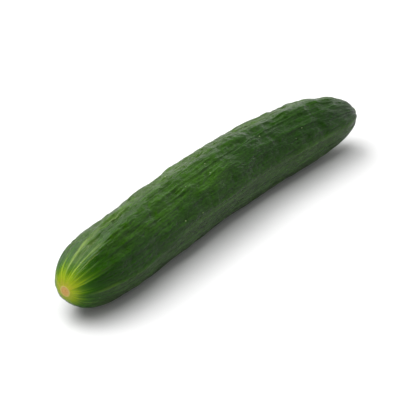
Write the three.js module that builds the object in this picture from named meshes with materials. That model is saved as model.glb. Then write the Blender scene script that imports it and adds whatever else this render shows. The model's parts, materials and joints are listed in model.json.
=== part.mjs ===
// A whole slicing cucumber, picked and lying on its side. It grew as one piece, so it is one
// closed solid: the ribbed green skin, the corky scar where the flower sat at the -X end, and the
// short cut stalk in its dimple at the +X end. Millimetres, +Z up. The bow lies in the XY plane
// with its outer side towards +Y, and the origin is under the middle of the fruit's box.
import * as THREE from 'three';
import { LoftGeometry } from 'three/addons/geometries/LoftGeometry.js';

// Driving dimensions. The radii and the bow are spaced evenly from the scar to the stalk.
const LENGTH = 299.7;
const RADII = [23.4, 23.7, 24.3, 23.5, 24.3];
const BOW = [-0.5, 3.4, 8.1, 12.2, 13.8, 10.9, 0.5];
const BLOSSOM_CAP = { length: 51.9, shoulder: 1.83, tip: 0.36 };
const STEM_CAP = { length: 78.5, shoulder: 2.14, tip: 0.45 };
const REST_DEPTH = 0.65;

// The fruit has five main ribs, one of them along the top, and a low one between each two. It
// rests on the flatter side between two main ribs.
const RIB_COUNT = 5;
const RIB_HEIGHT = 1.5;
const RIB_SOFTNESS = 0.03;
const SMALL_RIB_HEIGHT = 0.4;
const RIB_WANDER = 0.03;
const WAVE_HEIGHT = 0.25;

// Where the ribs lie, in degrees up from +Y: the top one, and the one low on the side. Both turn
// round the fruit near the scar, by the degrees listed from the scar to the stalk.
const TOP_RIB = 94;
const TOP_TURN = [25, 17, 7, 1, 0, 0, 0, 0, 0, 0, 0];
const SIDE_RIB = 172;
const SIDE_TURN = [0, 5, 12, 3, 0, 0, 0, 0, 2, 4, 4];
const SIDE_SPREAD = 38;

// The scar's rings run from the pip in its dish out over its rim: distance inside the tip, radius.
const SCAR_RINGS = [[0.25, 1.0], [0.5, 2.1], [-0.05, 2.7], [0.0, 3.2], [0.5, 3.7]];

// The stalk's rings run from the dimple's wall out to the cut face: distance past the tip, radius.
const STALK_RINGS = [[-1.6, 6.6], [-2.2, 5.0], [-2.1, 3.9], [-0.6, 3.4], [1.2, 3.6], [1.5, 3.3]];

const RING_COUNT = 64;
const POINTS_AROUND = 70;

const { clamp, degToRad, euclideanModulo } = THREE.MathUtils;
const bow = evenSpline(BOW);
const radius = evenSpline(RADII);
const topTurn = evenSpline(TOP_TURN.map(degToRad));
const sideTurn = evenSpline(SIDE_TURN.map(degToRad));

// A smooth curve through values spaced evenly along the fruit, as a function of 0 to 1.
function evenSpline(values) {
	const points = values.map((value, i) => new THREE.Vector2(i, value));
	const curve = new THREE.SplineCurve(points);
	return (s) => curve.getPoint(clamp(s, 0, 1)).y;
}

// How far a rounded end has opened out, from 0 at its tip to 1 where the body takes over.
function endCap(distance, cap) {
	const left = 1 - clamp(distance / cap.length, 0, 1);
	return Math.pow(1 - Math.pow(left, cap.shoulder), cap.tip);
}

function capFactor(s) {
	return endCap(s * LENGTH, BLOSSOM_CAP) * endCap((1 - s) * LENGTH, STEM_CAP);
}

// The middle line rises and falls with the radius, so that the underside lies on the floor.
function spinePoint(s) {
	return new THREE.Vector3((s - 0.5) * LENGTH, bow(s), radius(s) - REST_DEPTH);
}

// The directions across the fruit at s: level towards +Y, and up.
function crossAxes(s) {
	const step = 1e-3;
	const along = spinePoint(Math.min(s + step, 1)).sub(spinePoint(Math.max(s - step, 0)));
	const side = new THREE.Vector3(0, 0, 1).cross(along).normalize();
	const up = along.clone().cross(side).normalize();
	return { along: along.normalize(), side, up };
}

// The angle from the top rib. The ribs wander a little, and two of them turn near the scar.
function turned(s, angle) {
	const wander = RIB_WANDER * (Math.sin(5.1 * s + 2 * angle) + Math.sin(11.3 * s - 3 * angle));
	const fromTop = angle - degToRad(TOP_RIB);
	const turnOfTop = topTurn(s) * (0.5 + 0.5 * Math.cos(fromTop));
	const fromSide = euclideanModulo(angle - degToRad(SIDE_RIB) + Math.PI, 2 * Math.PI) - Math.PI;
	const turnOfSide = sideTurn(s) * Math.exp(-Math.pow(fromSide / degToRad(SIDE_SPREAD), 2));
	return fromTop - turnOfTop - turnOfSide + wander;
}

// So many crests round the fruit, each rounded over, with flatter sides between them.
function crests(s, angle, count) {
	return 0.5 - Math.sqrt(Math.pow(Math.sin(0.5 * count * turned(s, angle)), 2) + RIB_SOFTNESS);
}

// Height of the skin's relief at a place: the ribs, and a slow unevenness such as any fruit has.
function relief(s, angle) {
	const main = RIB_HEIGHT * (1 + 0.15 * Math.sin(3 * angle + 4 * s)) * crests(s, angle, RIB_COUNT);
	const small = SMALL_RIB_HEIGHT * crests(s, angle, 2 * RIB_COUNT);
	const wave = Math.sin(19 * s + 2 * angle) + 0.7 * Math.sin(31 * s - 3 * angle + 1);
	return main + small + WAVE_HEIGHT * wave;
}

// One ring of points square to the middle line. Anything below the floor is pressed flat on it.
function ring(s, offset, radiusAt) {
	const { along, side, up } = crossAxes(s);
	const centre = spinePoint(s).addScaledVector(along, offset);
	const points = [];
	for (let i = 0; i < POINTS_AROUND; i++) {
		const angle = degToRad(TOP_RIB) + (i / POINTS_AROUND) * 2 * Math.PI;
		const r = radiusAt(angle);
		const point = centre.clone();
		point.addScaledVector(side, r * Math.cos(angle));
		point.addScaledVector(up, r * Math.sin(angle));
		point.z = Math.max(point.z, 0);
		points.push(point);
	}
	return points;
}

// Rings crowd towards both ends, where the outline turns in.
function skinRings() {
	const rings = [];
	const scarEdge = SCAR_RINGS.at(-1)[1];
	const dimpleEdge = STALK_RINGS[0][1];
	for (let i = 1; i < RING_COUNT; i++) {
		const s = 0.5 - 0.5 * Math.cos((i / RING_COUNT) * Math.PI);
		const cap = capFactor(s);
		const smallest = s < 0.5 ? scarEdge : dimpleEdge;
		if (radius(s) * cap > smallest + 1) {
			rings.push(ring(s, 0, (angle) => cap * (radius(s) + relief(s, angle))));
		}
	}
	return rings;
}

const scar = SCAR_RINGS.map(([inside, r]) => ring(0, inside, () => r));
const stalk = STALK_RINGS.map(([past, r]) => ring(1, past, () => r));

const geometry = new LoftGeometry([...scar, ...skinRings(), ...stalk], { capStart: true, capEnd: true });
geometry.computeBoundingBox();
const middle = geometry.boundingBox.getCenter(new THREE.Vector3());
geometry.translate(-middle.x, -middle.y, -geometry.boundingBox.min.z);

const skin = new THREE.MeshStandardMaterial({ color: 0x35561c, roughness: 0.42, metalness: 0 });

const cucumber = new THREE.Mesh(geometry, skin);
cucumber.name = 'cucumber';

const group = new THREE.Group();
group.add(cucumber);

export default group;
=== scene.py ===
# %% [markdown]
# # A slicing cucumber
# A cucumber is one grown piece: a long green body with low ribs, a corky scar where the flower
# sat, and a short stalk where it was cut from the vine. It could be sculpted freely, but its
# ribs and wrinkles all run the same way, from the stalk to the scar. So the body is modelled
# straight, with the relief laid along it, and it is bent only at the end. The first cell loads
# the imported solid, which gives the place and the size that the finished body has to keep.

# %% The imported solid
import json
import math
import bpy
import numpy as np
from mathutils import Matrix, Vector

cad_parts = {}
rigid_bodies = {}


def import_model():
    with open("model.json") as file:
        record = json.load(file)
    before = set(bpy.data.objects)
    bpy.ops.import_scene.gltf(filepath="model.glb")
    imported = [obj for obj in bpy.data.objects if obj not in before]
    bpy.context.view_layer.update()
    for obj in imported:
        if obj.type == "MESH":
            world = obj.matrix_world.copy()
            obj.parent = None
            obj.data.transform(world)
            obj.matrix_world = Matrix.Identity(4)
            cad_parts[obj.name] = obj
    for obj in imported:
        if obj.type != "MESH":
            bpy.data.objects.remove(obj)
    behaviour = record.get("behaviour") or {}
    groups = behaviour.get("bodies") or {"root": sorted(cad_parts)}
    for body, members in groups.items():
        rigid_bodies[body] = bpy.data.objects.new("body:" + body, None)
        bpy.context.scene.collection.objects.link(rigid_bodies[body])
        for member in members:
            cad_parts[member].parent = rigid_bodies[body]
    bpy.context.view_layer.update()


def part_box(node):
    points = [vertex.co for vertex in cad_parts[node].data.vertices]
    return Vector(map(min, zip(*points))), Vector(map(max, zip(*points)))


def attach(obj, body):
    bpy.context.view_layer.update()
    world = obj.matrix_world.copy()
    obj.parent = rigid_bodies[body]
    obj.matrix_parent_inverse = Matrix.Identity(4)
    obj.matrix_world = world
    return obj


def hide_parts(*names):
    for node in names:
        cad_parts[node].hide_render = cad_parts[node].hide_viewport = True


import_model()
MM = 0.001

# %% [markdown]
# ## The camera
# A long lens from a metre away flattens the perspective, as is usual for food in a studio. The
# camera is placed by three facts: how high it looks down from, how far round from the blossom
# end it stands, and what it is aimed at.

# %% Camera
AIM = Vector((-16.6, -2.8, 23.1)) * MM
CAMERA_DISTANCE = 1056 * MM
CAMERA_HEIGHT_ANGLE = math.radians(29.5)
CAMERA_ROUND_ANGLE = math.radians(38.68)
LENS = 147.6

towards_camera = Vector((
    -math.cos(CAMERA_ROUND_ANGLE) * math.cos(CAMERA_HEIGHT_ANGLE),
    -math.sin(CAMERA_ROUND_ANGLE) * math.cos(CAMERA_HEIGHT_ANGLE),
    math.sin(CAMERA_HEIGHT_ANGLE),
))
camera_data = bpy.data.cameras.new("camera")
camera_data.lens = LENS
camera_data.sensor_width = 36
camera_data.clip_start = 0.05
camera = bpy.data.objects.new("camera", camera_data)
camera.location = AIM + towards_camera * CAMERA_DISTANCE
camera.rotation_euler = (-towards_camera).to_track_quat("-Z", "Y").to_euler()
bpy.context.scene.collection.objects.link(camera)
bpy.context.scene.camera = camera
print("camera at", [round(value, 3) for value in camera.location])

# %% [markdown]
# ## The outline
# Whatever way the body is made, it has to follow one outline: the radius along the fruit, and
# how roundly each end closes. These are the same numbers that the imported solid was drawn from.
# The middle line is written down here too, with its bow, because a place along the fruit is
# measured on it. A table of distances is kept, so that later steps can ask how far a place is
# from the blossom end along the middle line or along the skin.

# %% Outline and middle line
LENGTH = 299.7 * MM
RADII = np.array([23.4, 23.7, 24.3, 23.5, 24.3]) * MM
BOW = np.array([-0.5, 3.4, 8.1, 12.2, 13.8, 10.9, 0.5]) * MM
BLOSSOM_CAP = {"length": 51.9 * MM, "shoulder": 1.83, "tip": 0.36}
STEM_CAP = {"length": 78.5 * MM, "shoulder": 2.14, "tip": 0.45}
REST_DEPTH = 0.65 * MM
TABLE_ROWS = 4000


def even_spline(values, place):
    """A smooth curve through evenly spaced values, read at places from 0 to 1."""
    padded = np.concatenate([values[:1], values, values[-1:]])
    t = np.clip(place, 0, 1) * (len(values) - 1)
    i = np.minimum(t.astype(int), len(values) - 2)
    f = t - i
    a, b, c, d = padded[i], padded[i + 1], padded[i + 2], padded[i + 3]
    return b + 0.5 * f * (c - a + f * (2 * a - 5 * b + 4 * c - d + f * (3 * (b - c) + d - a)))


def end_cap(distance, cap):
    """How far a rounded end has opened, from 0 at its tip to 1 where the body takes over."""
    left = 1 - np.clip(distance / cap["length"], 0, 1)
    return (1 - left ** cap["shoulder"]) ** cap["tip"]


def cap_factor(s):
    return end_cap(s * LENGTH, BLOSSOM_CAP) * end_cap((1 - s) * LENGTH, STEM_CAP)


def middle_line(s):
    """The middle line rises and falls with the radius, so the underside lies on the floor."""
    height = even_spline(RADII, s) - REST_DEPTH
    return np.stack([(s - 0.5) * LENGTH, even_spline(BOW, s), height], axis=1)


def running_length(*columns):
    steps = np.sqrt(sum(np.diff(column) ** 2 for column in columns))
    return np.concatenate([[0], np.cumsum(steps)])


places = (1 - np.cos(np.linspace(0, math.pi, TABLE_ROWS))) / 2
along_middle = running_length(*middle_line(places).T)
outline = even_spline(RADII, places) * cap_factor(places)
along_skin = running_length(along_middle, outline)
print("middle line:", round(along_middle[-1] / MM, 1), "mm, skin:", round(along_skin[-1] / MM, 1), "mm")

# %% [markdown]
# ## The straight body
# A lathe or a row of extruded rings would both give this shape. A cylinder is the shortest way:
# its side is cut across into many rings, and then each ring is moved along and opened or closed
# so that the side follows the outline. The rings are set evenly along the skin and not along the
# middle line, which keeps the faces small where the ends turn in.

# %% Cylinder cut into rings
AROUND = 360
RING_CUTS = (14, 16)
SCAR_EDGE = 3.7 * MM
DIMPLE_EDGE = 6.6 * MM
HAIR = 0.1 * MM


def deselect_all():
    if bpy.context.object and bpy.context.object.mode != "OBJECT":
        bpy.ops.object.mode_set(mode="OBJECT")
    bpy.ops.object.select_all(action="DESELECT")


deselect_all()
bpy.ops.mesh.primitive_cylinder_add(
    vertices=AROUND, radius=RADII[2], depth=LENGTH, rotation=(0, math.pi / 2, 0))
skin = bpy.context.object
skin.name = "cucumber_skin"
bpy.ops.object.transform_apply(location=True, rotation=True, scale=True)

for cuts in RING_CUTS:
    bpy.ops.object.mode_set(mode="EDIT")
    bpy.ops.mesh.select_mode(type="EDGE")
    bpy.ops.mesh.select_all(action="DESELECT")
    bpy.ops.object.mode_set(mode="OBJECT")
    for edge in skin.data.edges:
        one, other = (skin.data.vertices[i].co for i in edge.vertices)
        edge.select = abs(one.x - other.x) > HAIR
    bpy.ops.object.mode_set(mode="EDIT")
    bpy.ops.mesh.subdivide(number_cuts=cuts)
bpy.ops.object.mode_set(mode="OBJECT")
print("the cylinder has", len(skin.data.vertices) // AROUND, "rings of", AROUND, "points")


# %% Rings set on the outline
def read_points(obj):
    values = np.empty(len(obj.data.vertices) * 3)
    obj.data.vertices.foreach_get("co", values)
    return values.reshape(-1, 3)


def write_points(obj, values):
    obj.data.vertices.foreach_set("co", values.ravel())
    obj.data.update()


half = len(places) // 2
skin_start = np.interp(SCAR_EDGE, outline[:half], along_skin[:half])
skin_end = np.interp(DIMPLE_EDGE, outline[half:][::-1], along_skin[half:][::-1])

points = read_points(skin)
ring = points[:, 0] / LENGTH + 0.5
s = np.interp(skin_start + ring * (skin_end - skin_start), along_skin, places)
opening = even_spline(RADII, s) * cap_factor(s) / RADII[2]
points[:, 0] = np.interp(s, places, along_middle)
points[:, 1:] *= opening[:, None]
write_points(skin, points)
first_x, last_x = float(points[:, 0].min()), float(points[:, 0].max())
print("skin from", round(first_x / MM, 2), "to", round(last_x / MM, 2), "mm along the middle line")

# %% [markdown]
# ## The two ends
# The open ends of the body are finished as a modeller would by hand: the end face is extruded
# and scaled again and again, once for each turn of the profile. At the blossom end that makes
# the raised rim and the shallow dish of the corky scar. At the other end it makes the dimple and
# the short stalk that stands in it. The last face of each end is poked, so the pole is closed.

# %% Scar and stalk
SCAR_STEPS = [(0.02, 3.3), (0.0, 3.0), (0.1, 2.6), (0.2, 1.8), (0.12, 0.9), (0.1, 0.3)]
STALK_STEPS = [(2.0, 5.4), (2.3, 4.6), (2.1, 3.9), (1.4, 3.5), (0.4, 3.35), (-0.8, 3.45),
               (-1.2, 3.5), (-1.45, 3.35), (-1.4, 2.6), (-1.3, 1.6), (-1.25, 0.6)]
STALK_EDGE = 4.7 * MM
TIP_X = {-1: 0.0, 1: float(along_middle[-1])}


def close_end(obj, side, steps, x, radius):
    """Extrudes the end face on one side through steps of (depth inside the tip, radius), in mm."""
    bpy.ops.object.mode_set(mode="EDIT")
    bpy.ops.mesh.select_mode(type="FACE")
    bpy.ops.mesh.select_all(action="DESELECT")
    bpy.ops.object.mode_set(mode="OBJECT")
    end_face = max(obj.data.polygons, key=lambda face: len(face.vertices) * side * face.normal.x)
    end_face.select = True
    bpy.ops.object.mode_set(mode="EDIT")
    for inside, new_radius in steps:
        new_x = TIP_X[side] - side * inside * MM
        bpy.ops.mesh.extrude_region_move(TRANSFORM_OT_translate={"value": (new_x - x, 0, 0)})
        scale = new_radius * MM / radius
        bpy.ops.transform.resize(value=(1, scale, scale), center_override=(new_x, 0, 0))
        x, radius = new_x, new_radius * MM
    bpy.ops.mesh.poke()
    bpy.ops.object.mode_set(mode="OBJECT")


close_end(skin, -1, SCAR_STEPS, first_x, SCAR_EDGE)
close_end(skin, 1, STALK_STEPS, last_x, DIMPLE_EDGE)
print("body with its ends:", len(skin.data.polygons), "faces")

# %% [markdown]
# ## Ribs, wrinkles and lumps
# Real relief is not a print on the skin: it moves the outline and breaks the light. A noise
# texture in a modifier would give round bumps, but on a cucumber they are drawn out along the
# fruit, and they have to meet without a seam all the way round. So each layer of relief is worked
# out here as a height for every point. The heights are painted on the body as weights, and a
# Displace modifier pushes the skin out along its normals by that much. `soft_noise` makes gentle
# random hills that close round the fruit. Five low main ribs come first, with a small one in each
# furrow. Next are thin ridges along the fruit, parallel wrinkles and faint fibres, and last the
# lumps and dents, which are strongest on the upper side.


# %% Helpers for relief
HILL_GAIN = 2.2


def spline_weights(f):
    return (1 - f) ** 3 / 6, (3 * f ** 3 - 6 * f ** 2 + 4) / 6, \
        (3 * f * (1 + f - f ** 2) + 1) / 6, f ** 3 / 6


def soft_noise(s, angle, along, around, seed):
    """Gentle random hills from about -1 to 1: so many along the fruit, and so many round it.

    The spline between them flattens them, so they are raised again at the end.
    """
    hills = np.random.default_rng(seed).uniform(-1, 1, (along + 4, around))
    x = np.clip(s, 0, 1) * along
    y = angle / (2 * math.pi) % 1 * around
    i, j = x.astype(int), y.astype(int)
    total = 0
    for a, weight_along in enumerate(spline_weights(x - i)):
        for b, weight_around in enumerate(spline_weights(y - j)):
            total = total + weight_along * weight_around * hills[i + a, (j + b) % around]
    return HILL_GAIN * total


def hill_layers(layers, s, angle):
    """Adds up layers of hills: each has a height, how many along and round, and its own seed."""
    return sum(height * soft_noise(s, angle, *hills) for height, *hills in layers)


def smooth_step(value, low, high):
    t = np.clip((value - low) / (high - low), 0, 1)
    return t * t * (3 - 2 * t)


def raise_relief(obj, name, heights):
    """Pushes each point of the body out along its normal by its height, or in where it is below 0."""
    for side, label in ((1, "_raised"), (-1, "_sunk")):
        reach = float((side * heights).max())
        group = obj.vertex_groups.new(name=name + label)
        weights = np.clip(side * heights / reach, 0, 1)
        for i in np.flatnonzero(weights > 0):
            group.add([int(i)], float(weights[i]), "REPLACE")
        push = obj.modifiers.new(name + label, "DISPLACE")
        push.vertex_group = group.name
        push.mid_level = 0
        push.strength = side * reach
        bpy.ops.object.modifier_apply(modifier=push.name)
        obj.vertex_groups.remove(obj.vertex_groups[name + label])
    print(name, "from", round(heights.min() / MM, 2), "to", round(heights.max() / MM, 2), "mm")


print("relief helpers are ready")

# %% Where each point is
# The relief eases in from each pole over these shares of the length, and leaves out the scar,
# the dimple and the stalk.
EASE_AT_SCAR = (0.0001, 0.006)
EASE_AT_STALK = (0.0006, 0.012)

points = read_points(skin)
s = np.interp(points[:, 0], along_middle, places)
angle = np.arctan2(points[:, 2], points[:, 1])
from_axis = np.hypot(points[:, 1], points[:, 2])
distance = np.interp(s, places, along_skin) / MM
opened = cap_factor(s)
on_skin = np.minimum(smooth_step(s, *EASE_AT_SCAR), smooth_step(1 - s, *EASE_AT_STALK))
on_skin[(s > 0.5) & (from_axis < DIMPLE_EDGE - HAIR)] = 0
on_skin[(s < 0.5) & (from_axis < SCAR_EDGE - HAIR)] = 0
print("points that take relief:", int((on_skin > 0).sum()), "of", len(points))

# %% Ribs
# The two lists of turns are read evenly from the scar to the stalk.
RIB_COUNT = 5
RIB_HEIGHT = 1.5 * MM
RIB_UNEVENNESS = 0.15
RIB_SOFTNESS = 0.03
SMALL_RIB_HEIGHT = 0.4 * MM
RIB_WANDER = 0.03
TOP_RIB = math.radians(94)
TOP_TURN = np.radians([25, 16, 4, -5, -6, -5, -4, -1, 1, 2, 2])
SIDE_TURN = np.radians([0, 6, 14, 7, 4, 3, 3, 1, 1, 3, 3])
SIDE_RIB = math.radians(172)
SIDE_SPREAD = math.radians(38)
WAVE_HEIGHT = 0.25 * MM


def turned(s, angle):
    """The angle from the top rib. The ribs wander a little, and two of them turn near the scar."""
    wander = RIB_WANDER * (np.sin(5.1 * s + 2 * angle) + np.sin(11.3 * s - 3 * angle))
    top_turn = even_spline(TOP_TURN, s) * (0.5 + 0.5 * np.cos(angle - TOP_RIB))
    aside = (angle - SIDE_RIB + math.pi) % (2 * math.pi) - math.pi
    side_turn = even_spline(SIDE_TURN, s) * np.exp(-((aside / SIDE_SPREAD) ** 2))
    return angle - TOP_RIB - top_turn - side_turn + wander


def crests(s, angle, count):
    return 0.5 - np.sqrt(np.sin(count / 2 * turned(s, angle)) ** 2 + RIB_SOFTNESS)


def rib_height(s, angle):
    uneven = 1 + RIB_UNEVENNESS * np.sin(3 * angle + 4 * s)
    main = RIB_HEIGHT * uneven * crests(s, angle, RIB_COUNT)
    small = SMALL_RIB_HEIGHT * crests(s, angle, 2 * RIB_COUNT)
    wave = np.sin(19 * s + 2 * angle) + 0.7 * np.sin(31 * s - 3 * angle + 1)
    return main + small + WAVE_HEIGHT * wave


raise_relief(skin, "ribs", on_skin * opened * rib_height(s, angle))

# %% Fine ridges
# Each ridge runs from one distance along the skin to another, in mm, and from one angle to
# another. Then come its height and its width in mm.
RIDGES = [
    (14, 285, 106, 110, 0.42, 0.7), (6, 130, 82, 77, 0.45, 1.0), (98, 106, 164, 172, 0.42, 1.0),
    (104, 285, 166, 171, 0.36, 1.1), (14, 98, 181, 179, 0.36, 0.9), (60, 180, 131, 130, 0.36, 0.7),
    (100, 170, 121, 121, 0.34, 0.6), (190, 265, 128, 134, 0.34, 0.7), (150, 290, 66, 62, 0.40, 1.0),
    (60, 200, 98, 99, 0.25, 0.7), (80, 240, 114, 116, 0.22, 0.7), (50, 140, 71, 68, 0.40, 1.0),
    (120, 250, 86, 84, 0.30, 0.8), (160, 285, 149, 152, 0.25, 0.8), (110, 230, 76, 74, 0.35, 0.8),
    (40, 170, 52, 48, 0.20, 1.0), (30, 250, 215, 208, 0.20, 1.0), (60, 270, 246, 251, 0.20, 1.0),
    (20, 180, 292, 286, 0.20, 1.0), (130, 290, 318, 322, 0.20, 1.0), (25, 240, 352, 345, 0.20, 1.0),
    (120, 280, 20, 26, 0.20, 1.0),
]
LINE_SWAY = [(1.0, 24, 8, 41), (0.4, 70, 16, 42)]


def along_lines(lines, fade, swing):
    """The sum of soft-edged lines on the skin, each as high as its fifth number at its middle.

    They fade in and out over so many millimetres, and sway from side to side by about the swing.
    """
    sway = swing * hill_layers(LINE_SWAY, s, angle)
    total = np.zeros(len(distance))
    for start, end, angle_from, angle_to, height, width in lines:
        along = np.clip((distance - start) / (end - start), 0, 1)
        middle = np.radians(angle_from + (angle_to - angle_from) * along) + sway
        aside = (angle - middle + math.pi) % (2 * math.pi) - math.pi
        ends = smooth_step(distance, start, start + fade) * smooth_step(end - distance, 0, fade)
        total += height * ends * np.exp(-((aside * RADII[2] / MM / width) ** 2))
    return total


RIDGE_FADE = 12
RIDGE_SWING = 0.03
ridges = along_lines(RIDGES, RIDGE_FADE, RIDGE_SWING) * MM
print(len(RIDGES), "ridges, the highest", round(ridges.max() / MM, 2), "mm")

# %% Wrinkles and fibres
# Layers of hills are given as a height, how many along and round the fruit, and a seed. A fibre
# is a hill that is drawn out long. The patch of large wrinkles is placed in mm and angles.
WRINKLE_COUNT = 84
WRINKLE_HEIGHT = 0.30
WRINKLE_SWAY = [(0.9, 22, 12, 11), (0.4, 70, 30, 12)]
WRINKLE_BREAKS = (34, 40, 13)
OTHER_PATCHES = (10, 9, 14)
OTHER_STRENGTH = 0.6
FIBRES = [(0.13, 18, 130, 21), (0.10, 36, 176, 22)]
WRINKLE_PATCH = {"from": 60, "fade_in": 25, "to": 155, "fade_out": 30,
                 "angle": math.radians(145), "half": math.radians(19), "soft": 0.12}


def wrinkle_heights():
    """Short parallel wrinkles in patches, the largest of them low on the side, and faint fibres."""
    sway = hill_layers(WRINKLE_SWAY, s, angle)
    wave = 0.5 + 0.5 * np.cos(angle * WRINKLE_COUNT + 2 * math.pi * sway)
    broken = smooth_step(soft_noise(s, angle, *WRINKLE_BREAKS), -0.2, 0.5)
    place = WRINKLE_PATCH
    patch = smooth_step(distance, place["from"], place["from"] + place["fade_in"])
    patch = patch * smooth_step(place["to"] - distance, 0, place["fade_out"])
    patch = patch * smooth_step(place["half"] - np.abs(angle - place["angle"]), 0, place["soft"])
    others = OTHER_STRENGTH * smooth_step(soft_noise(s, angle, *OTHER_PATCHES), 0.1, 0.7)
    where = np.maximum(patch, others)
    return (WRINKLE_HEIGHT * wave ** 2 * broken * where + hill_layers(FIBRES, s, angle)) * MM


# The skin is smoother near the blossom end. This share of the relief is left there, and the rest
# comes in between these two distances.
SHARE_AT_TIP = 0.35
TIP_FADE = (10, 45)
MEAN_WRINKLE = 0.12 * MM

tip_fade = SHARE_AT_TIP + (1 - SHARE_AT_TIP) * smooth_step(distance, *TIP_FADE)
tapered = on_skin * np.sqrt(opened) * tip_fade
wrinkles = wrinkle_heights()
raise_relief(skin, "wrinkles", tapered * (wrinkles + ridges - MEAN_WRINKLE))

# %% Lumps and dents
BROAD_LUMPS = [(0.18, 14, 9, 31)]
SMALL_LUMPS = [(0.34, 40, 40, 32), (0.26, 64, 84, 33)]
DENT_DEPTH = 0.40
DENT_HILLS = (80, 60, 34)
ROUGH_SIDE = math.radians(62)


def lump_heights():
    """Broad swellings all over, with small lumps and dents that are strongest on the rough side."""
    dents = -DENT_DEPTH * smooth_step(soft_noise(s, angle, *DENT_HILLS), 0.5, 0.95)
    small = hill_layers(SMALL_LUMPS, s, angle) + dents
    roughness = 0.6 + 0.9 * (0.5 + 0.5 * np.cos(angle - ROUGH_SIDE)) ** 2
    return (hill_layers(BROAD_LUMPS, s, angle) + roughness * small) * MM


raise_relief(skin, "lumps", tapered * lump_heights())

# %% [markdown]
# ## Marks for the materials
# A material can only find its way on the fruit if the mesh tells it where it is. Object
# coordinates would not do, because the fruit is bent and its streaks follow the ribs. So each
# point keeps some values from the straight body. `grown` is its place in millimetres, with the
# distance from the blossom end first, and then the two directions across. `crest` says how near
# the top of a rib it is, `fold` how near the top of a wrinkle, `streak` how pale it is, and
# `from_axis` how far out from the middle line. The scar and the stalk get materials of their own.


# %% Values kept on the mesh
# The pale streaks are lines like the ridges: from and to in mm, two angles, strength and width.
# Most are the skin's own pale streaks, but the wide one round 90 degrees and the one at 104
# degrees are painted sheen of the light near the blossom end.
# The tops of wrinkles are painted lighter, as painted highlights, and the tops of ridges too, but less.
STREAKS = [
    (8, 44, 82, 76, 1.1, 1.4), (12, 46, 90, 90, 0.22, 4.0), (34, 80, 80, 79, 0.3, 1.2),
    (8, 44, 104, 105, 0.5, 1.4), (6, 36, 117, 113, 0.45, 0.6), (10, 30, 97, 94, 0.3, 0.7),
    (10, 40, 181, 178, 0.3, 0.9),
    (10, 34, 62, 52, 0.3, 1.2), (9, 40, 148, 145, 0.12, 1.0), (9, 30, 130, 126, 0.2, 0.6),
    (8, 50, 252, 246, 0.8, 1.5), (8, 44, 322, 318, 0.8, 1.5), (8, 36, 30, 28, 0.6, 1.4),
    (10, 28, 215, 213, 0.4, 1.0), (10, 32, 287, 284, 0.4, 1.0),
]
STREAK_FADE = 10
STREAK_SWING = 0.008
RIDGE_HIGHLIGHT_SHARE = 0.3


def keep(obj, name, values, kind="FLOAT", field="value"):
    attribute = obj.data.attributes.new(name, kind, "POINT")
    attribute.data.foreach_set(field, values.astype(np.float32).ravel())


reach = np.where(on_skin > 0, RADII[2], from_axis) / MM
grown = np.stack([distance, reach * np.cos(angle), reach * np.sin(angle)], axis=1)
keep(skin, "grown", grown, "FLOAT_VECTOR", "vector")
keep(skin, "crest", np.cos(RIB_COUNT / 2 * turned(s, angle)) ** 2 * (on_skin > 0))
keep(skin, "fold", (wrinkles + RIDGE_HIGHLIGHT_SHARE * ridges) / wrinkles.max())
keep(skin, "streak", along_lines(STREAKS, STREAK_FADE, STREAK_SWING))
keep(skin, "from_axis", from_axis / MM)
print("kept on the mesh:", [name for name in ("grown", "crest", "fold", "streak", "from_axis")
                            if name in skin.data.attributes])

# %% Faces of the scar and the stalk
CORK, STALK = 1, 2
for face in skin.data.polygons:
    widest = from_axis[list(face.vertices)].max()
    if widest < SCAR_EDGE * 1.001 and face.center.x < LENGTH / 2:
        face.material_index = CORK
    if widest < STALK_EDGE and face.center.x > LENGTH / 2:
        face.material_index = STALK
bpy.ops.object.shade_smooth()
print("faces of cork and stalk:", [sum(face.material_index == k for face in skin.data.polygons)
                                   for k in (CORK, STALK)])

# %% [markdown]
# ## Bending and resting
# The real fruit hung a little crooked. The straight body now takes that bow from a Bezier curve
# in a Curve modifier, which carries every rib and wrinkle along. Its underside is then pressed
# flat where it rests, by scaling what is below the floor to no height, and the body is moved to
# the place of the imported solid.

# %% Middle line as a curve
KNOTS = 25
NUDGE = 1e-4
deselect_all()
bpy.ops.curve.primitive_bezier_curve_add()
bow_curve = bpy.context.object
bow_curve.name = "bow_curve"
bow_curve.data.twist_mode = "Z_UP"
spline = bow_curve.data.splines[0]
spline.bezier_points.add(KNOTS - 2)
knot_places = np.linspace(0, 1, KNOTS)
knots = middle_line(knot_places)
just_before = np.clip(knot_places - NUDGE, 0, 1 - 2 * NUDGE)
slopes = (middle_line(just_before + 2 * NUDGE) - middle_line(just_before)) / (2 * NUDGE)
handles = slopes / (3 * (KNOTS - 1))
for bezier, knot, handle in zip(spline.bezier_points, knots, handles):
    bezier.handle_left_type = bezier.handle_right_type = "FREE"
    bezier.co = knot
    bezier.handle_left = knot - handle
    bezier.handle_right = knot + handle
print("the curve is", round(spline.calc_length() / MM, 1), "mm long")

# %% Body on the curve
deselect_all()
skin.select_set(True)
bpy.context.view_layer.objects.active = skin
bend = skin.modifiers.new("bend", "CURVE")
bend.object = bow_curve
bend.deform_axis = "POS_X"
bpy.ops.object.modifier_apply(modifier=bend.name)
bpy.data.objects.remove(bow_curve)
below = read_points(skin)[:, 2] < 0
print("the bent body reaches", round(-read_points(skin)[:, 2].min() / MM, 2), "mm into the floor")

# %% Flat underside and place
bpy.ops.object.mode_set(mode="EDIT")
bpy.ops.mesh.select_mode(type="VERT")
bpy.ops.mesh.select_all(action="DESELECT")
bpy.ops.object.mode_set(mode="OBJECT")
skin.data.vertices.foreach_set("select", below)
bpy.ops.object.mode_set(mode="EDIT")
bpy.ops.transform.resize(value=(1, 1, 0), center_override=(0, 0, 0))
bpy.ops.object.mode_set(mode="OBJECT")

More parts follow.
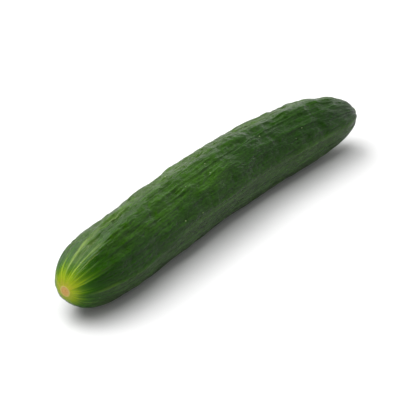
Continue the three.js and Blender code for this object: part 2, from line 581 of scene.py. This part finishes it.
low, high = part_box("cucumber")
bent = read_points(skin)
shift = (Vector(low) + Vector(high)) / 2 - Vector((bent.min(0) + bent.max(0)) / 2)
bpy.ops.transform.translate(value=(shift.x, shift.y, 0))
bpy.ops.object.transform_apply(location=True, rotation=True, scale=True)
print("points resting on the floor:", int(below.sum()), "and the body moved by",
      [round(value / MM, 2) for value in shift], "mm")

# %% [markdown]
# ## Building materials from nodes
# Every finish here is made from nodes: noise for what grew unevenly, ramps for what changes with
# distance, and the marks that were kept on the mesh. A node's inputs are easier to read as one
# line each than as many lines of links, so a few helpers add a node and join it up.


# %% Node helpers
def new_material(name):
    material = bpy.data.materials.new(name)
    material.use_nodes = True
    return material, material.node_tree, material.node_tree.nodes["Principled BSDF"]


def put(tree, socket, value):
    if isinstance(value, bpy.types.NodeSocket):
        tree.links.new(value, socket)
    else:
        socket.default_value = value


def calculate(tree, operation, first, second=0.0, clamp=False):
    made = tree.nodes.new("ShaderNodeMath")
    made.operation = operation
    made.use_clamp = clamp
    put(tree, made.inputs[0], first)
    put(tree, made.inputs[1], second)
    return made.outputs[0]


def noise(tree, vector, scale, detail=2.0, roughness=0.5):
    made = tree.nodes.new("ShaderNodeTexNoise")
    put(tree, made.inputs["Vector"], vector)
    put(tree, made.inputs["Scale"], scale)
    put(tree, made.inputs["Detail"], detail)
    put(tree, made.inputs["Roughness"], roughness)
    return made.outputs["Fac"]


def between(tree, value, low, high, to_low=0.0, to_high=1.0):
    """Runs smoothly from to_low to to_high while the value goes from low to high."""
    made = tree.nodes.new("ShaderNodeMapRange")
    made.interpolation_type = "SMOOTHSTEP"
    for socket, number in zip(made.inputs, (value, low, high, to_low, to_high)):
        put(tree, socket, number)
    return made.outputs[0]


def spots(tree, vector, spacing, inner, outer):
    """1 in round spots and 0 between them. Spacing and the two radii are in the vector's units."""
    made = tree.nodes.new("ShaderNodeTexVoronoi")
    put(tree, made.inputs["Vector"], vector)
    put(tree, made.inputs["Scale"], 1 / spacing)
    return between(tree, made.outputs["Distance"], outer / spacing, inner / spacing)


def blend_colours(tree, factor, first, second, mode="MIX"):
    """Mixes two colours. Inputs 6 and 7 and output 2 of the Mix node are its colour sockets."""
    made = tree.nodes.new("ShaderNodeMix")
    made.data_type = "RGBA"
    made.blend_type = mode
    put(tree, made.inputs[0], factor)
    for socket, colour in ((made.inputs[6], first), (made.inputs[7], second)):
        put(tree, socket, colour if isinstance(colour, bpy.types.NodeSocket) else (*colour, 1))
    return made.outputs[2]


def ramp(tree, value, stops):
    """A colour that changes along the value: stops are (value, colour) pairs from 0 to 1."""
    made = tree.nodes.new("ShaderNodeValToRGB")
    put(tree, made.inputs[0], value)
    elements = made.color_ramp.elements
    while len(elements) < len(stops):
        elements.new(0.5)
    for element, (position, colour) in zip(elements, stops):
        element.position = position
        element.color = (*colour, 1)
    return made.outputs[0]


def kept(tree, name, output="Fac"):
    """Reads a value that the mesh has kept at each point."""
    made = tree.nodes.new("ShaderNodeAttribute")
    made.attribute_name = name
    return made.outputs[output]


def stretched(tree, vector, scale, location=(0, 0, 0)):
    made = tree.nodes.new("ShaderNodeMapping")
    put(tree, made.inputs["Vector"], vector)
    put(tree, made.inputs["Scale"], scale)
    put(tree, made.inputs["Location"], location)
    return made.outputs[0]


def bump(tree, height, distance):
    made = tree.nodes.new("ShaderNodeBump")
    put(tree, made.inputs["Height"], height)
    put(tree, made.inputs["Distance"], distance)
    return made.outputs[0]


print("node helpers are ready")

# %% [markdown]
# ## Green skin
# Cucumber skin is a deep green that is never even. The upper side is painted paler, as painted
# light and sheen from the softbox and the pale wall, and the low sides are painted deeper, as
# shade. The underside is duller and browner up to a ridge, partly its own colour and partly a
# painted reflection of the white floor, and the stalk end is darkest. Cloudy patches of fresher
# green show through, thin streaks run the whole length, and the tops of ribs are lighter. The
# tops of wrinkles and ridges are painted lighter, as painted highlights. Towards the blossom end
# the green gives way to yellow in rays round the scar, and pale streaks run up the ribs from
# there; two of them near the top are painted sheen. Small pale dots mark where the spines sat,
# and small pits are painted dark, as shade in the dents. All of it is mixed on the `grown`
# place, squeezed along the fruit so that the noise comes out drawn long. Distances here are in
# millimetres. The gloss is a thin wax, so it is sharp in some places and softer in others.

# %% Green and where it changes
DEEP_GREEN = (0.0096, 0.041, 0.0008)
FRESH_GREEN = (0.0195, 0.066, 0.0008)
# Painted light and sheen, for the upper side that faces the softbox and mirrors the pale wall.
LIT_SHEEN_GREEN = (0.048, 0.100, 0.012)
FAR_GREEN = (0.0078, 0.036, 0.001)
# The underside's own duller colour, together with a painted reflection of the white floor.
UNDERSIDE_AND_FLOOR_REFLECTION_GREEN = (0.028, 0.069, 0.010)
CLOUD_STRETCH = (0.14, 1, 1)
CLOUD_SCALE = 0.17
FAR_END = (130.0, 210.0)
RIDGE_STEPS_UP = (94.0, 106.0)
RIDGE_STEP = 5.0

green, tree, shader = new_material("green_skin")
grown_place = kept(tree, "grown", "Vector")
apart = tree.nodes.new("ShaderNodeSeparateXYZ")
put(tree, apart.inputs[0], grown_place)
from_tip, side_place, height_place = apart.outputs

clouds = noise(tree, stretched(tree, grown_place, CLOUD_STRETCH), CLOUD_SCALE, 3.0, 0.6)
# Painted light: the upper side is pushed towards the fresher green and the low sides towards the deep
# green, as the light falls from above.
clouds = calculate(tree, "ADD", clouds, between(tree, height_place, 6.0, 24.0, -0.26, 0.12))
colour = blend_colours(tree, between(tree, clouds, 0.28, 0.68), DEEP_GREEN, FRESH_GREEN)
colour = blend_colours(tree, between(tree, from_tip, *FAR_END, 0.0, 0.75), colour, FAR_GREEN)
# The underside is painted duller and browner up to a ridge: partly its own colour, partly a painted
# reflection of the white floor.
underside_edge_height = between(tree, from_tip, *RIDGE_STEPS_UP, 0.0, RIDGE_STEP)
above_ridge = calculate(tree, "SUBTRACT", height_place, underside_edge_height)
colour = blend_colours(tree, between(tree, above_ridge, 1.2, -1.0, 0.0, 0.9), colour, UNDERSIDE_AND_FLOOR_REFLECTION_GREEN)
# Painted light and sheen: the upper side that faces the softbox and mirrors the pale wall is painted
# paler.
lit_sheen_side = between(tree, side_place, -2.5, 7.5, 0.0, 0.75)
lit_sheen = calculate(tree, "MULTIPLY", lit_sheen_side, between(tree, height_place, 4.0, 16.0))
colour = blend_colours(tree, lit_sheen, colour, LIT_SHEEN_GREEN)
print("the ground side ends", RIDGE_STEP, "mm higher past", RIDGE_STEPS_UP[1], "mm")

# %% Rib tops, streaks, grain and painted highlights
RIB_GREEN = (0.028, 0.078, 0.002)
RIB_STRENGTH = 0.2
STREAK_STRETCH = (0.022, 1, 1)
STREAK_SCALE = 0.55
GRAIN_STRETCH = (0.42, 1, 1)
GRAIN_SCALE = 0.85

rib_top = calculate(tree, "POWER", kept(tree, "crest"), 3.0)
rib_top = calculate(tree, "MULTIPLY", rib_top, RIB_STRENGTH)
colour = blend_colours(tree, rib_top, colour, RIB_GREEN)

drawn_long = stretched(tree, grown_place, STREAK_STRETCH)
streaks = noise(tree, drawn_long, STREAK_SCALE, 3.0, 0.6)
shade = between(tree, streaks, 0.34, 0.66, 0.83, 1.17)
pebbles = noise(tree, stretched(tree, grown_place, GRAIN_STRETCH), GRAIN_SCALE, 2.0, 0.6)
grain = between(tree, pebbles, 0.3, 0.7, 0.76, 1.27)
# Painted highlight: the tops of wrinkles and ridges are made lighter and the ground between them a
# little darker.
fold_highlight = between(tree, kept(tree, "fold"), -0.3, 0.9, 0.84, 1.3)
shade = calculate(tree, "MULTIPLY", calculate(tree, "MULTIPLY", shade, grain), fold_highlight)
colour = blend_colours(tree, 1.0, colour, shade, "MULTIPLY")
print("a streak is about", round(1 / STREAK_SCALE, 1), "mm wide and",
      round(1 / STREAK_SCALE / STREAK_STRETCH[0]), "mm long")

# %% Yellow blossom end
HALO_REACH = 40.0
HALO_STOPS = [
    (0.09, (0.42, 0.39, 0.020)), (0.17, (0.27, 0.36, 0.004)), (0.235, (0.20, 0.30, 0.004)),
    (0.31, (0.09, 0.185, 0.002)), (0.41, (0.038, 0.113, 0.001)), (0.53, (0.017, 0.070, 0.001)),
    (0.75, (0.0105, 0.054, 0.001)),
]
RAY_STRETCH = (0.015, 1, 1)
RAY_YELLOW = (0.50, 0.54, 0.03)

rays_place = stretched(tree, grown_place, RAY_STRETCH)
rays = between(tree, noise(tree, rays_place, 0.30, 2.0, 0.55), 0.3, 0.70, 1.35, 0.68)
rays = calculate(tree, "MULTIPLY", rays, between(tree, height_place, -24.0, 24.0, 1.4, 0.88))
halo_place = calculate(tree, "DIVIDE", from_tip, HALO_REACH)
halo_place = calculate(tree, "MULTIPLY", halo_place, rays)
halo = ramp(tree, halo_place, HALO_STOPS)
colour = blend_colours(tree, between(tree, halo_place, 1.0, 0.4), colour, halo)

ray_lines = between(tree, noise(tree, rays_place, 0.8, 1.0), 0.54, 0.68)
ray_reach = between(tree, from_tip, 14.0, 5.0, 0.0, 0.35)
ray_lines = calculate(tree, "MULTIPLY", ray_lines, ray_reach)
colour = blend_colours(tree, ray_lines, colour, RAY_YELLOW)
print("the yellow fades out about", HALO_REACH, "mm from the scar")

# %% Pale rib streaks and painted sheen
PALE_STREAK_AND_SHEEN_GREEN = (0.24, 0.34, 0.07)
PALE_STRENGTH = 0.75

# The skin's own pale streaks, with two near the top that are painted sheen.
broken_up = between(tree, streaks, 0.3, 0.6, 1.0, 0.6)
pale = calculate(tree, "MULTIPLY", kept(tree, "streak"), broken_up)
pale = calculate(tree, "MULTIPLY", pale, PALE_STRENGTH, clamp=True)
colour = blend_colours(tree, pale, colour, PALE_STREAK_AND_SHEEN_GREEN)
print(len(STREAKS), "pale streaks run from the blossom end")

# %% Dots and pits
SPECK_COLOUR = (0.30, 0.38, 0.18)
PIT_SHADE_COLOUR = (0.004, 0.013, 0.002)
SPOT_SPACING = 8.0

dots = spots(tree, stretched(tree, grown_place, (0.7, 1, 1)), SPOT_SPACING, 0.2, 0.5)
pits = spots(tree, stretched(tree, grown_place, (0.5, 1, 1), (40, 9, 5)), SPOT_SPACING, 0.2, 0.8)
dots = calculate(tree, "MULTIPLY", dots, between(tree, from_tip, 8.0, 14.0, 0.0, 0.8))
colour = blend_colours(tree, dots, colour, SPECK_COLOUR)
# Painted shade: the pits are darkened nearly to black, as shade in the small dents.
pits = calculate(tree, "MULTIPLY", pits, between(tree, from_tip, 12.0, 20.0, 0.0, 0.5))
colour = blend_colours(tree, pits, colour, PIT_SHADE_COLOUR)
put(tree, shader.inputs["Base Color"], colour)
print("spots are about", SPOT_SPACING, "mm apart round the fruit")

# %% Skin gloss and fine relief
SKIN_IOR = 1.34
BUMP_DEPTH = 0.8 * MM

waxy = noise(tree, drawn_long, 0.3, 2.0)
put(tree, shader.inputs["Roughness"], between(tree, waxy, 0.3, 0.7, 0.11, 0.19))
shader.inputs["IOR"].default_value = SKIN_IOR
height = calculate(tree, "MULTIPLY", streaks, 0.9)
for layer, part in ((pebbles, 0.7), (dots, 0.4), (pits, -0.8)):
    height = calculate(tree, "ADD", height, calculate(tree, "MULTIPLY", layer, part))
put(tree, shader.inputs["Normal"], bump(tree, height, BUMP_DEPTH))
skin.data.materials.append(green)
print("green skin has", len(tree.nodes), "nodes")

# %% [markdown]
# ## Cork and stalk
# The scar is dry cork: tan in the dish, paler on the raised rim, and matt. The cut stalk is a
# dull green outside and shows its pale, moist flesh where it was cut. Both change with the
# distance from the axis, which the mesh has kept in millimetres.

# %% Scar cork
CORK_STOPS = [(0.0, (0.50, 0.27, 0.06)), (0.5, (0.53, 0.31, 0.08)), (0.70, (0.46, 0.27, 0.06)),
              (0.86, (0.56, 0.45, 0.13)), (1.0, (0.43, 0.40, 0.04))]
cork, tree, shader = new_material("scar_cork")
speckle = noise(tree, kept(tree, "grown", "Vector"), 1.6, 3.0, 0.6)
out_from_middle = calculate(tree, "DIVIDE", kept(tree, "from_axis"), SCAR_EDGE / MM)
ragged = between(tree, speckle, 0.2, 0.8, -0.12, 0.12)
uneven = calculate(tree, "ADD", out_from_middle, ragged, clamp=True)
mottle = between(tree, speckle, 0.3, 0.7, 0.74, 1.18)
cork_colour = blend_colours(tree, 1.0, ramp(tree, uneven, CORK_STOPS), mottle, "MULTIPLY")
put(tree, shader.inputs["Base Color"], cork_colour)
shader.inputs["Roughness"].default_value = 0.75
put(tree, shader.inputs["Normal"], bump(tree, speckle, 0.25 * MM))
skin.data.materials.append(cork)
print("cork has", len(tree.nodes), "nodes")

# %% Cut stalk
STALK_STOPS = [(0.0, (0.30, 0.34, 0.13)), (0.5, (0.38, 0.42, 0.19)), (0.66, (0.20, 0.26, 0.08)),
               (0.74, (0.055, 0.10, 0.02)), (1.0, (0.04, 0.09, 0.012))]
stalk, tree, shader = new_material("cut_stalk")
fibre = noise(tree, kept(tree, "grown", "Vector"), 1.3, 3.0, 0.6)
stalk_place = calculate(tree, "DIVIDE", kept(tree, "from_axis"), STALK_EDGE / MM)
mottle = between(tree, fibre, 0.3, 0.7, 0.8, 1.15)
stalk_colour = blend_colours(tree, 1.0, ramp(tree, stalk_place, STALK_STOPS), mottle, "MULTIPLY")
put(tree, shader.inputs["Base Color"], stalk_colour)
shader.inputs["Roughness"].default_value = 0.6
put(tree, shader.inputs["Normal"], bump(tree, fibre, 0.3 * MM))
skin.data.materials.append(stalk)
print("materials on the body:", [material.name for material in skin.data.materials])

# %% [markdown]
# ## Floor and light
# The fruit lies on a white floor that is lit until it is pure white, so only its shadow shows.
# A wide softbox hangs behind it and to the left, which puts a soft shadow in front and gives the
# skin its highlights. A second one hangs above it, a little to the left. It fills the shadow, and
# it is hidden from mirror rays, because its reflection would veil the deep green on top. What the
# waxy skin mirrors besides is the room: a pale wall behind, brightest straight behind the fruit,
# which gives the long sheen on the upper side, and a dark room in front. The floor is darker in
# mirror rays too, since its white is an overexposed one.

# %% Floor
FLOOR_WHITE = (0.72, 0.72, 0.72)
FLOOR_IN_MIRRORS = (0.36, 0.36, 0.36)

deselect_all()
bpy.ops.mesh.primitive_plane_add(size=9)
floor = bpy.context.object
floor.name = "floor"
paper, tree, shader = new_material("white_paper")
in_gloss = tree.nodes.new("ShaderNodeLightPath").outputs["Is Glossy Ray"]
floor_colour = blend_colours(tree, in_gloss, FLOOR_WHITE, FLOOR_IN_MIRRORS)
put(tree, shader.inputs["Base Color"], floor_colour)
shader.inputs["Roughness"].default_value = 0.9
shader.inputs["Specular IOR Level"].default_value = 0.0
floor.data.materials.append(paper)
print("floor is", round(floor.dimensions.x, 1), "m wide")

# %% Lights
BACKWARD = Vector((math.cos(CAMERA_ROUND_ANGLE), math.sin(CAMERA_ROUND_ANGLE), 0))
RIGHTWARD = Vector((BACKWARD.y, -BACKWARD.x, 0))
IN_LINE_WITH_CAMERA = CAMERA_ROUND_ANGLE - math.pi / 2


def studio(right, back, height):
    """A place in the room, measured from the fruit as the camera sees it, in metres."""
    return RIGHTWARD * right + BACKWARD * back + Vector((0, 0, height))


def panel(name, place, turn, width, length, power, mirrored):
    """A level softbox that shines straight down, with its sides in metres and its power in watts."""
    bpy.ops.object.light_add(type="AREA", location=place, rotation=(0, 0, turn))
    light = bpy.context.object
    light.name = name
    light.data.shape = "RECTANGLE"
    light.data.size = width
    light.data.size_y = length
    light.data.energy = power
    light.visible_camera = False
    light.visible_glossy = mirrored


panel("overhead", studio(-1.0, 1.05, 1.5), IN_LINE_WITH_CAMERA, 1.5, 2.4, 31, mirrored=True)
panel("top", studio(-0.65, -0.1, 1.6), 0, 2.2, 2.2, 42, mirrored=False)
scene = bpy.context.scene
scene.view_settings.view_transform = "Standard"

# %% The room around
# The pale wall stands behind the fruit and a little to the right. Each `between` gives a
# brightness, by how nearly a direction points at the wall, or by how high it points.
WALL_TO_THE_RIGHT = 0.36
SEEN_BRIGHTNESS = 0.9
FILL_BRIGHTNESS = 0.45

scene.world = bpy.data.worlds.new("room")
scene.world.use_nodes = True
tree = scene.world.node_tree
direction = tree.nodes.new("ShaderNodeTexCoord").outputs["Generated"]
facing = tree.nodes.new("ShaderNodeVectorMath")
facing.operation = "DOT_PRODUCT"
put(tree, facing.inputs[0], direction)
facing.inputs[1].default_value = (BACKWARD + RIGHTWARD * WALL_TO_THE_RIGHT).normalized()
facing_wall = facing.outputs["Value"]
upward = tree.nodes.new("ShaderNodeSeparateXYZ")
put(tree, upward.inputs[0], direction)
wall_edge = between(tree, facing_wall, 0.06, 0.24, 0.04, 0.48)
wall_middle = between(tree, facing_wall, 0.82, 0.92, 0.0, 0.65)
wall = calculate(tree, "ADD", wall_edge, wall_middle)
dark_ceiling = between(tree, upward.outputs[2], 0.8, 0.9, 1.0, 0.1)
mirrored_room = calculate(tree, "MULTIPLY", wall, dark_ceiling)
ray = tree.nodes.new("ShaderNodeLightPath")
room = between(tree, ray.outputs["Is Glossy Ray"], 0, 1, FILL_BRIGHTNESS, mirrored_room)
room = between(tree, ray.outputs["Is Camera Ray"], 0, 1, room, SEEN_BRIGHTNESS)
background = tree.nodes["Background"]
put(tree, background.inputs["Strength"], room)
background.inputs["Color"].default_value = (1, 1, 1, 1)
print("the room has", len(tree.nodes), "nodes")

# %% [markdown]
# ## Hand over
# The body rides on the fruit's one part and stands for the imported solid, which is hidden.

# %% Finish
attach(skin, "root")
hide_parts("cucumber")
